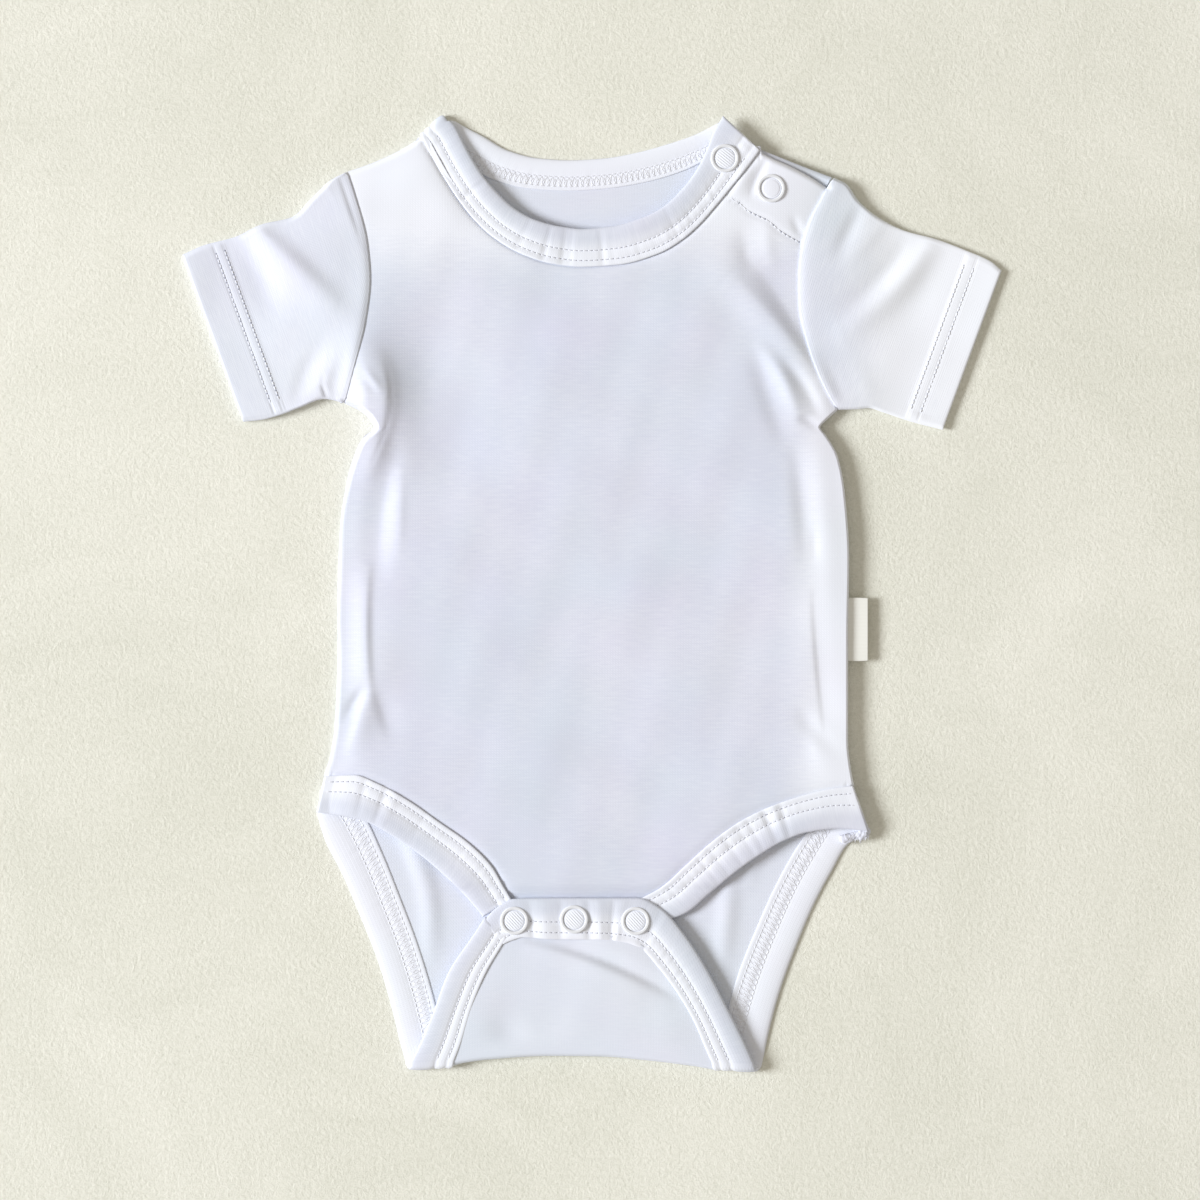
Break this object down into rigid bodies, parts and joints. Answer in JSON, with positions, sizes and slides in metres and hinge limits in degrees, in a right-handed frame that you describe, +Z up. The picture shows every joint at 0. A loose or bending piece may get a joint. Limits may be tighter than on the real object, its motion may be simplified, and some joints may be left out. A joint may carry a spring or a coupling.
{
  "type": "snap-crotch infant bodysuit",
  "caption": "Short-sleeved infant bodysuit laid flat on its back, with folded bindings, ring snaps at the crotch and shoulder, and open neck, sleeves and legs.",
  "frame": {"origin": "on the flat underside, below the middle of the garment's length and width", "axes": "+X to the wearer's left (the right as seen from above), +Y towards the neck, +Z up out of the front"},
  "size_m": [0.3032, 0.3543, 0.0069],
  "materials": {
    "front_jersey": "fine cotton jersey, right side",
    "back_jersey": "fine cotton jersey",
    "sleeve_jersey": "fine cotton jersey, right side",
    "binding_jersey": "folded cotton jersey with twin-needle stitching",
    "white_enamel": "white enamelled ring snap",
    "plated_brass": "nickel-plated brass, hidden between the cloths",
    "woven_label": "blank woven satin label"
  },
  "bodies": {
    "root": {"front_panel": "front_jersey", "back_panel": "back_jersey", "sleeve_left": "sleeve_jersey", "sleeve_right": "sleeve_jersey", "neck_binding": "binding_jersey", "leg_binding_front_left": "binding_jersey", "leg_binding_front_right": "binding_jersey", "leg_binding_back_left": "binding_jersey", "leg_binding_back_right": "binding_jersey", "front_crotch_strip": "front_jersey", "shoulder_facing": "front_jersey", "side_label": "woven_label", "snap_ring_crotch_left": "white_enamel", "snap_ring_crotch_middle": "white_enamel", "snap_ring_crotch_right": "white_enamel", "snap_ring_neck_tab": "white_enamel", "snap_ring_shoulder": "white_enamel", "snap_stud_crotch_left": "plated_brass", "snap_stud_crotch_middle": "plated_brass", "snap_stud_crotch_right": "plated_brass", "snap_stud_neck_tab": "plated_brass", "snap_stud_shoulder": "plated_brass"}
  },
  "joints": []
}
